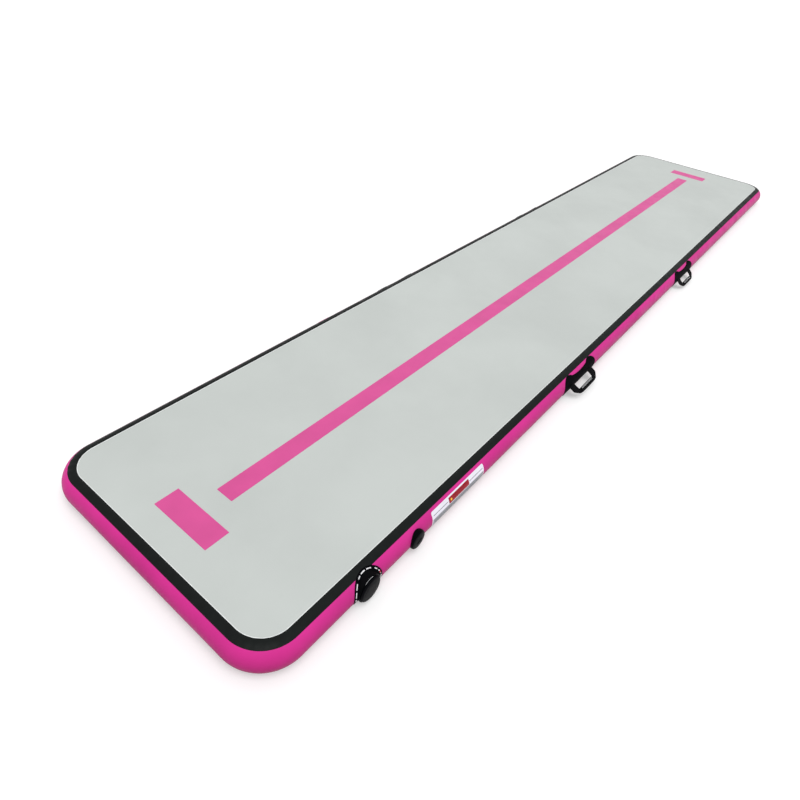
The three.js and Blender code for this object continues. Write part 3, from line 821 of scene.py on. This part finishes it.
def raised_arc(place, radius, width, start, end, base, thick):
    """A raised arc round the pump valve, in millimetres and degrees."""
    turns = np.radians(np.linspace(start, end, max(4, round(abs(end - start) / 2))))
    across = radius + width / 2 * crowded(7)
    turns, across = np.meshgrid(turns, across * MM, indexing="ij")
    sides = [place(across * np.cos(turns), across * np.sin(turns), height * MM)
             for height in (base + thick, base - 0.1)]
    return shell("mark", *sides)


def fit_turned(name, x, body, look, nodes, profile, radius, **shape):
    """A turned piece of black plastic or rubber, with the body it moves with."""
    piece = turned(name, x, profile, radius, **shape)
    finish_piece(piece, body, look, nodes)


def build_valve_marks():
    """The patch's broken ring and red mark, and a short line on the flange."""
    marks = []
    gaps = 15
    pitch = 360 / gaps
    for k in range(gaps):
        length = pitch * (0.74 if k % 3 else 0.45)
        start = 36 + k * pitch
        marks.append(raised_arc(on_patch, MARK_RING, 3.0, start, start + length, 1.6, 0.2))
    marks.append(raised_arc(on_flange, 42.4, 1.6, 78, 122, 4.5, 0.2))
    ring_marks = join_meshes("valve_ring_marks", marks)
    smooth(ring_marks)
    finish_piece(ring_marks, "mat", "mark_white")
    red_mark = raised_arc(on_patch, MARK_RING, 4.2, 14, 24, 1.6, 0.25)
    red_mark.name = "valve_red_mark"
    finish_piece(red_mark, "mat", "label_red")


def build_pump_valve():
    x = VALVE_X
    patch = wrapped("valve_patch_disc", x,
                    [(PATCH_HOLE, 0.1), (PATCH_HOLE, 1.6), (46.4, 1.6), (47.2, 1.9), (48, 1.6),
                     (56.4, 1.6), (57.4, 1.9), (58.6, 1.6), (60, 0.8), (60, 0.1)])
    finish_piece(patch, "mat", "patch", ["valve_patch"])
    build_valve_marks()
    pad_front, flange_back, face = -2.6, -2.9, -4.9
    fit_turned("valve_saddle_skin", x, "mat", "rubber", ["valve_saddle"],
               [(PATCH_HOLE, pad_front + 1), (PATCH_HOLE, pad_front), (FLANGE - 0.8, pad_front),
                (FLANGE, pad_front + 0.4), (FLANGE, pad_front + 1)],
               0.3, closed=True, depth_of=pad_depth(pad_front))
    fit_turned("valve_flange_ring", x, "mat", "plastic", ["valve_flange"],
               [(22.3, face), (33, face), (33.6, face + 0.4), (43.3, face + 0.4),
                (FLANGE, face + 1), (FLANGE, flange_back), (22.3, flange_back)],
               0.5, closed=True)
    crest = face - 4.5
    fit_turned("valve_collar_ring", x, "mat", "plastic", ["valve_collar"],
               [(COLLAR_BORE, crest), (COLLAR, crest), (COLLAR, face - 0.3),
                (COLLAR_BORE, face - 0.3)], 0.6, closed=True)
    fit_turned("valve_barrel_tube", x, "mat", "plastic", ["valve_barrel"],
               [(BARREL_BORE, face), (BARREL, face), (BARREL, 10), (21.4, 10.6), (BARREL, 11.2),
                (21.4, 12), (BARREL, 12.8), (BARREL, 46), (BARREL_BORE, 46)], 0.4, closed=True)
    fit_turned("valve_push_button", x, "stem", "plastic", ["valve_stem"],
               [(0, -0.6), (3.4, -0.6), (4.4, -1), (5.4, -1), (6, -0.4), (6, 2), (2, 2),
                (2, 27.6), (4, 27.6), (4, 29.7), (0, 29.7)], 0.35)
    fit_turned("valve_diaphragm_disc", x, "diaphragm", "rubber", ["valve_diaphragm"],
               [(2.3, 25.3), (14.6, 25.3), (15.5, 25.9), (15.5, 27.3), (2.3, 27.3)],
               0.4, closed=True)
    roof = crest - 1.8
    fit_turned("valve_cap_seal_ring", x, "cap_seal", "rubber", ["valve_cap_seal"],
               [(28.2, roof + 0.3), (30.8, roof + 0.3), (30.8, crest - 0.3),
                (28.2, crest - 0.3)], 0.5, closed=True)
    skirt = face - 0.4
    fit_turned("valve_cap_dome", x, "cap", "plastic", ["valve_cap"],
               [(0, roof), (31.4, roof), (31.4, skirt), (39.5, skirt),
                (41, skirt - 1.2), (40, roof + 1.6), (36, roof - 0.8),
                (29.4, roof - 1.7), (28.6, roof - 1.4), (27.8, roof - 1.9),
                (18, roof - 2.4), (0, roof - 2.8)],
               0.7, segments=288, knurl=ribs(48, 0.6, roof + 1.2, skirt - 1))


def grip_bar(name, x, half_length, half_width, root, crest):
    """A rounded bar across a cap, to turn it by."""
    u = crowded(41)
    v = np.linspace(-1, 1, 17)
    along = half_length * u[:, None] + 0 * v[None, :]
    width = half_width * np.sqrt(np.clip(1 - np.abs(u) ** 6, 0, 1))
    across = width[:, None] * v[None, :]
    dome = np.sqrt(np.clip(1 - np.abs(v[None, :]) ** 4, 0, 1))
    dome = dome * np.sqrt(np.clip(1 - np.abs(u[:, None]) ** 8, 0, 1))
    depth = root + (crest - root) * dome
    tilt = math.radians(35)
    px = x + (along * math.cos(tilt) - across * math.sin(tilt)) * MM
    pz = MID + (along * math.sin(tilt) + across * math.cos(tilt)) * MM
    outer = np.stack([px, -HALF_WIDTH + depth * MM, pz], -1)
    inner = np.stack([px, np.full_like(px, -HALF_WIDTH + (root + 0.4) * MM), pz], -1)
    return shell(name, outer, inner, 50)


def build_relief_valve():
    x = RELIEF_X
    face = -4
    fit_turned("relief_flange", x, "mat", "plastic", (),
               [(RELIEF_BORE, face), (30.8, face), (32, face + 1), (32, face + 2),
                (32, face + 2.6), (RELIEF_BORE, face + 2.6)],
               0.5, closed=True, depth_of=pad_depth(face + 1.6))
    fit_turned("relief_barrel", x, "mat", "plastic", ["relief_body"],
               [(RELIEF_BORE, -1), (RELIEF_BARREL, -1), (RELIEF_BARREL, 30), (RELIEF_BORE, 30),
                (RELIEF_BORE, 24), (6, 24), (6, 22), (RELIEF_BORE, 22)], 0.3, closed=True)
    fit_turned("relief_poppet_disc", x, "poppet", "rubber", ["relief_poppet"],
               [(0, 3), (1.2, 3), (1.2, 19.5), (8.5, 19.5), (8.5, 21.7), (0, 21.7)], 0.3)
    rim = -4.3
    fit_turned("relief_cap_dome", x, "relief_cap", "plastic", ["relief_cap"],
               [(0, rim - 2.2), (24, rim - 1.4), (27, rim), (RELIEF_CAP, rim),
                (RELIEF_CAP, rim - 1.6), (29.4, rim - 3.2), (26, rim - 4.3), (21, rim - 5.2),
                (11, rim - 6.1), (0, rim - 6.4)],
               0.9, segments=240, knurl=ribs(36, 0.6, rim - 3, rim - 0.1))
    bar = grip_bar("relief_cap_bar", x, 12, 2.8, rim - 5.4, rim - 7.8)
    finish_piece(bar, "relief_cap", "plastic")


# ------------ handles

LOBE_X = 97 * MM
LOBE_RADIUS = 50 * MM
WAIST = 26 * MM
GRIP_HALF_MM = 59
STITCH_LENGTH = 4.2 * MM
STITCH_GAP = 0.6 * MM
THREAD_RADIUS = 0.8 * MM
STITCH_RINGS = 6


def dog_bone():
    """Half-height of the handle patch at each x: two round lobes and a hollow waist."""
    open_angle = math.radians(130)
    tip_x = LOBE_X + LOBE_RADIUS * math.cos(open_angle)
    tip_s = LOBE_RADIUS * math.sin(open_angle)

    def reach_of(x):
        x = np.abs(x)
        round_part = np.sqrt(np.maximum(LOBE_RADIUS ** 2 - (x - LOBE_X) ** 2, 0))
        t = np.clip(x / tip_x, 0, 1)
        curve = (tip_s + WAIST) / 2 + (tip_s - WAIST) / 2 * t ** 2
        return np.where(x > tip_x, round_part, curve)
    return reach_of, LOBE_X + LOBE_RADIUS


def welded_border(reach_of, half):
    """A pressed rib that follows a patch's outline, a little inside it."""
    inset, width, height = 6 * MM, 2.2 * MM, 0.45 * MM
    xs = half * crowded(241)
    reach = reach_of(xs)
    outline = np.concatenate([np.stack([xs, reach], 1), np.stack([xs, -reach], 1)])

    def relief(x, s):
        points = np.stack([x.ravel(), s.ravel()], 1)
        gap = np.sqrt(((points[:, None] - outline[None]) ** 2).sum(-1)).min(1)
        gap = gap.reshape(x.shape)
        return height * np.exp(-((gap - inset) / (width / 2)) ** 2)
    return relief


def hinge_frame(x, side, droop):
    """The handle's own frame: x along the wall, y into the mat, at its rest angle."""
    place = Matrix.Translation((x, side * (HALF_WIDTH + HINGE_OUT), MID))
    turn = Matrix.Rotation(math.pi if side > 0 else 0, 4, "Z")
    return place @ turn @ Matrix.Rotation(droop, 4, "X")


def resample(points, count):
    points = np.array(points, float)
    steps = np.linalg.norm(np.diff(points, axis=0), axis=1)
    at = np.concatenate([[0], np.cumsum(steps)])
    want = np.linspace(0, at[-1], count)
    return np.stack([np.interp(want, at, points[:, k]) for k in range(2)], 1)


def strap_edges():
    """The webbing's inner and outer edge, from one root to the other, in millimetres."""
    inner = [(64, 1.5), (63.4, -15), (62.6, -24), (60, -29.5)]
    outer = [(104, 1.5), (104, -21), (101, -26), (75, -44), (68, -45.5)]
    both = []
    for half, radius in ((inner, 5), (outer, 7)):
        whole = half + [(-x, y) for x, y in reversed(half)]
        both.append(resample(eased(whole, radius, False, 6), 161) * MM)
    return both


def handle_strap(name):
    """Flat webbing with rounded edges, lofted between its two edges."""
    inner, outer = strap_edges()
    turns = full_turn(24)
    across = squarish(np.cos(turns), 0.35)
    up = squarish(np.sin(turns), 0.55) * 1.95 * MM
    middle, half = (inner + outer) / 2, (outer - inner) / 2
    flat = middle[:, None, :] + half[:, None, :] * across[None, :, None]
    points = np.concatenate([flat, np.broadcast_to(up[None, :, None], flat.shape[:2] + (1,))], -1)
    faces = tube_faces(len(points), len(turns))
    return make_mesh(name, points.reshape(-1, 3), faces, 50)


def grip_sleeve(name):
    """A padded sleeve, a little fuller in its middle and drawn in at its hemmed ends."""
    along = np.linspace(-1, 1, 73)
    half_length = GRIP_HALF_MM * MM
    turns = full_turn(48)
    fold = 0.42
    y_unit = squarish(np.cos(turns), fold)
    z_unit = squarish(np.sin(turns), fold + 0.2)
    hem = 1 - 0.10 * np.exp(-((np.abs(along) - 0.86) / 0.035) ** 2)
    end = np.clip((1 - np.abs(along)) / 0.04, 0, 1) ** 0.5 * 0.14 + 0.86
    full = (0.94 + 0.06 * (1 - along ** 2)) * hem * end
    y = -37.5 * MM + 10 * MM * y_unit[None, :] * (0.5 + 0.5 * full[:, None])
    z = 5.6 * MM * z_unit[None, :] * full[:, None]
    crease = 1 - 0.05 * np.exp(-(np.sin(turns)[None, :] / 0.25) ** 2) * (full[:, None] > 0.9)
    x = np.repeat(half_length * along[:, None], len(turns), 1)
    points = np.stack([x, y, z * crease], -1)
    faces = tube_faces(len(points), len(turns))
    return make_mesh(name, points.reshape(-1, 3), faces, 60)


def stitch_row(path, up):
    """Points and faces of thread stitches along a path, each a small raised capsule."""
    path, up = np.array(path, float), np.array(up, float)
    steps = np.linalg.norm(np.diff(path, axis=0), axis=1)
    at = np.concatenate([[0], np.cumsum(steps)])
    count = int((at[-1] + STITCH_GAP) / (STITCH_LENGTH + STITCH_GAP))
    points, faces = [], []
    turns = full_turn(6)
    for k in range(count):
        start = k * (STITCH_LENGTH + STITCH_GAP)
        where = np.linspace(start, start + STITCH_LENGTH, STITCH_RINGS)
        middle = np.stack([np.interp(where, at, path[:, i]) for i in range(3)], 1)
        lift = np.stack([np.interp(where, at, up[:, i]) for i in range(3)], 1)
        heading = middle[-1] - middle[0]
        heading /= np.linalg.norm(heading)
        sideways = np.cross(heading, lift)
        sideways /= np.linalg.norm(sideways, axis=1, keepdims=True)
        swell = THREAD_RADIUS * np.sin(np.linspace(0.18, math.pi - 0.18, STITCH_RINGS)) ** 0.5
        rows = (middle[:, None] + swell[:, None, None] * (
            np.cos(turns)[None, :, None] * sideways[:, None]
            + 0.7 * np.sin(turns)[None, :, None] * lift[:, None]))
        begin = sum(len(p) for p in points)
        points.append(rows.reshape(-1, 3))
        faces += tube_faces(STITCH_RINGS, len(turns), begin)
    return np.concatenate(points), faces


def stitches(name, rows):
    points, faces = [], []
    for path, up in rows:
        more, made = stitch_row(path, up)
        begin = sum(len(p) for p in points)
        faces += [tuple(i + begin for i in face) for face in made]
        points.append(more)
    return make_mesh(name, np.concatenate(points), faces, 60)


def patch_stitch_rows(x, side):
    """Two bars of stitching across each strap root, on the patch."""
    rows = []
    for sign in (-1, 1):
        for level in (-13 * MM, 13 * MM):
            along = np.linspace(66, 102, 19) * MM * sign + x
            path = on_wall(along, np.full(19, level), 2.2 * MM, side)
            out = np.tile((0.0, float(side), 0.0), (19, 1))
            rows.append((path, out))
    return rows


def grip_stitch_rows():
    """Two rows along the grip's inner side, on both faces."""
    rows = []
    for face in (1, -1):
        for y, drop in ((-30.3, 5.2), (-33.7, 5.58)):
            x = np.linspace(-49, 49, 60)
            level = face * drop * (0.94 + 0.06 * (1 - (x / GRIP_HALF_MM) ** 2))
            path = np.stack([x, np.full(60, y), level], 1) * MM
            rows.append((path, np.tile((0.0, 0.5, float(face)), (60, 1))))
    return rows


def build_handle(place, side, droop):
    strap_node, grip_node = f"handle_strap_{place}", f"handle_grip_{place}"
    patch_node, body = f"handle_patch_{place}", f"handle_{place}"
    low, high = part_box(patch_node)
    x = (low.x + high.x) / 2
    reach_of, half = dog_bone()
    patch = wall_piece(f"patch_{place}", x, 0, half, reach_of, 0.2 * MM, 1.5 * MM, side, (121, 57),
                       welded_border(reach_of, half))
    finish_piece(patch, "mat", "patch", [patch_node])
    bars = stitches(f"patch_stitches_{place}", patch_stitch_rows(x, side))
    finish_piece(bars, "mat", "webbing")
    placing = hinge_frame(x, side, droop)
    strap = handle_strap(f"strap_{place}")
    grip = grip_sleeve(f"grip_{place}")
    seams = stitches(f"grip_stitches_{place}", grip_stitch_rows())
    for piece in (strap, grip, seams):
        piece.data.transform(placing)
    finish_piece(strap, body, "webbing", [strap_node])
    finish_piece(grip, body, "webbing", [grip_node])
    finish_piece(seams, body, "thread")


# ------------ hidden nodes and stage

def paint_hidden_nodes():
    """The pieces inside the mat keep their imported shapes."""
    looks = {
        "inner_wall_band": "wall", "upper_base_cloth": "cloth", "lower_base_cloth": "cloth",
        "drop_stitch_yarns": "cloth", "valve_back_washer": "rubber",
        "valve_back_nut": "plastic", "valve_seat": "rubber", "valve_stem_guide": "plastic",
        "valve_spring": "steel", "relief_back_nut": "plastic", "relief_stem_guide": "plastic",
        "relief_spring": "steel",
    }
    for node, look in looks.items():
        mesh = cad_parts[node].data
        mesh.materials.clear()
        mesh.materials.append(MATERIALS[look])
        smooth(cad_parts[node], 40)


def build_stage():
    size = 60
    corners = [(-size, -size, 0), (size, -size, 0), (size, size, 0), (-size, size, 0)]
    floor = make_mesh("studio_floor", corners, [(0, 1, 2, 3)])
    floor.location.z = -0.4 * MM
    paint = bpy.data.materials.new("studio_floor_white")
    paint.use_nodes = True
    shader = paint.node_tree.nodes["Principled BSDF"]
    shader.inputs["Base Color"].default_value = (0.75, 0.75, 0.75, 1)
    shader.inputs["Emission Color"].default_value = (1, 1, 1, 1)
    shader.inputs["Emission Strength"].default_value = 0.3
    shader.inputs["Roughness"].default_value = 0.9
    shader.inputs["Specular IOR Level"].default_value = 0.1
    floor.data.materials.append(paint)

    world = bpy.data.worlds.new("studio_world")
    bpy.context.scene.world = world
    world.use_nodes = True
    nodes, links = world.node_tree.nodes, world.node_tree.links
    direction = nodes.new("ShaderNodeTexCoord")
    split = nodes.new("ShaderNodeSeparateXYZ")
    fade = nodes.new("ShaderNodeMapRange")
    links.new(direction.outputs["Generated"], split.inputs[0])
    links.new(split.outputs["Z"], fade.inputs["Value"])
    for socket, value in zip(("From Min", "From Max", "To Min", "To Max"), (0.1, 0.7, 1.0, 0.45)):
        fade.inputs[socket].default_value = value
    sky = nodes["Background"]
    sky.inputs["Color"].default_value = (1, 1, 1, 1)
    links.new(fade.outputs[0], sky.inputs["Strength"])

    suns = [("key", (-0.25, -0.35, 1.0), 1.6, 50), ("fill", (0.7, 0.5, 1.0), 0.35, 70)]
    for name, towards, strength, softness in suns:
        data = bpy.data.lights.new(name, "SUN")
        data.energy = strength
        data.angle = math.radians(softness)
        lamp = bpy.data.objects.new(name, data)
        lamp.rotation_euler = Vector(towards).to_track_quat("Z", "Y").to_euler()
        bpy.context.scene.collection.objects.link(lamp)


def build_camera():
    """The viewpoint: beside the near end, looking along the mat and down."""
    place = Vector((-3.0840, -1.1580, 1.6659))
    heading, pitch, roll = 0.6481, -0.5348, 0.0979
    forward = Vector((math.cos(pitch) * math.cos(heading), math.cos(pitch) * math.sin(heading),
                      math.sin(pitch)))
    right = forward.cross(Vector((0, 0, 1))).normalized()
    up = right.cross(forward)
    rolled_right = right * math.cos(roll) + up * math.sin(roll)
    rolled_up = up * math.cos(roll) - right * math.sin(roll)
    axes = Matrix((rolled_right, rolled_up, -forward)).transposed()
    data = bpy.data.cameras.new("camera")
    data.sensor_width = 36
    data.lens = 29.99
    data.shift_x, data.shift_y = 0.035, -0.125
    data.clip_start, data.clip_end = 0.05, 200
    camera = bpy.data.objects.new("camera", data)
    camera.matrix_world = Matrix.Translation(place) @ axes.to_4x4()
    bpy.context.scene.collection.objects.link(camera)
    bpy.context.scene.camera = camera
    bpy.context.scene.view_settings.view_transform = "Standard"


build_mattress()
build_markings()
build_label()
build_wall_joint()
build_pump_valve()
build_relief_valve()
for handle, (wall_side, hang) in HANDLES.items():
    build_handle(handle, wall_side, hang)
paint_hidden_nodes()
build_stage()
build_camera()
